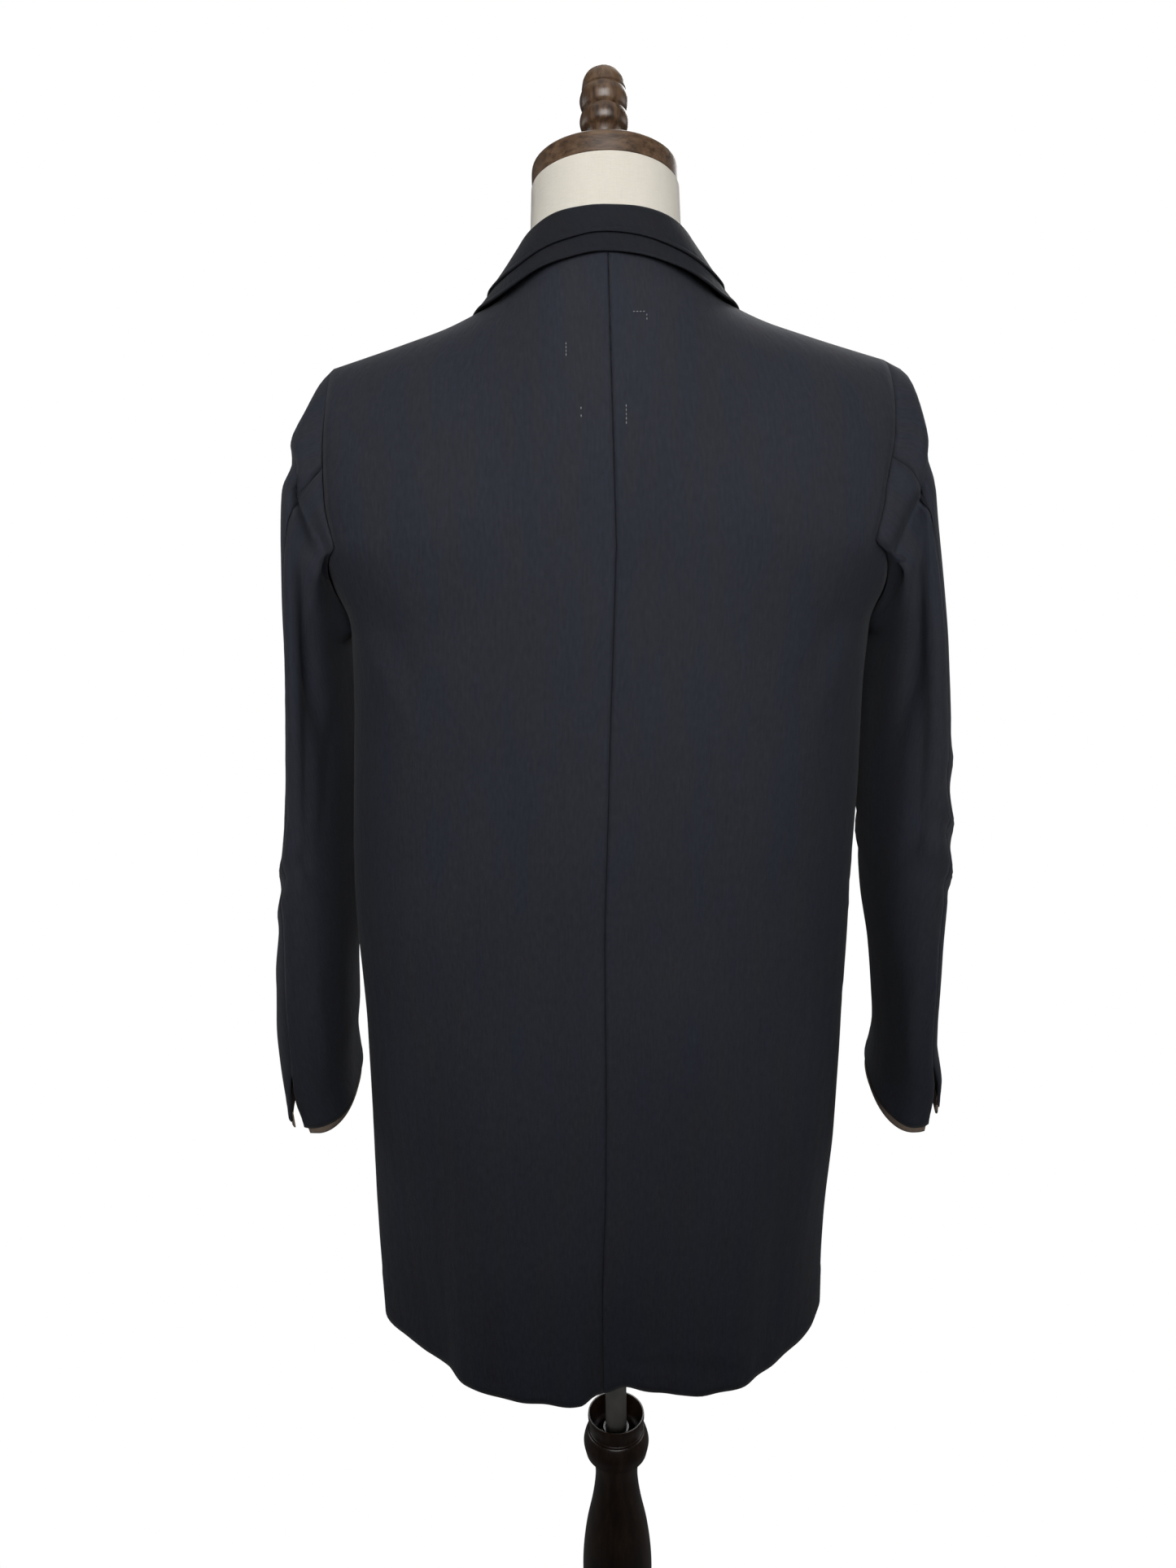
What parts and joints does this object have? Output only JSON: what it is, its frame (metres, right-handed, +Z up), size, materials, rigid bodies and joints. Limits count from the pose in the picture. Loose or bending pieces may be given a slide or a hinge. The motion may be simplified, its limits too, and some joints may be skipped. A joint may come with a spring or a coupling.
{
  "type": "coat on dress form",
  "caption": "Single-breasted dark wool coat with a two-layer collar and vented cuffs, worn by a limbless linen dress form on a turned wooden stand.",
  "frame": {"origin": "centre of the stand base's underside, on the floor", "axes": "+Z up along the stand, -Y towards the coat's front, +X towards the wearer's left"},
  "size_m": [0.5787, 0.36, 1.6328],
  "materials": {
    "wool": "matte",
    "facing": "matte",
    "linen": "matte",
    "cap_wood": "satin",
    "stand_wood": "satin",
    "metal": "satin",
    "horn": "satin"
  },
  "bodies": {
    "root": {"back_left": "wool", "back_right": "wool", "front_left": "wool", "front_right": "wool", "collar_upper": "wool", "collar_lower": "wool", "lapel_left": "wool", "lapel_right": "wool", "top_sleeve_left": "wool", "top_sleeve_right": "wool", "under_sleeve_left": "wool", "under_sleeve_right": "wool", "cuff_trim_left": "facing", "cuff_trim_right": "facing", "form_torso": "linen", "neck_cap": "cap_wood", "finial": "cap_wood", "stand_column": "stand_wood", "stand_base": "stand_wood", "base_plate": "stand_wood", "pole": "metal", "button_1": "horn", "button_2": "horn", "button_3": "horn"}
  },
  "joints": []
}
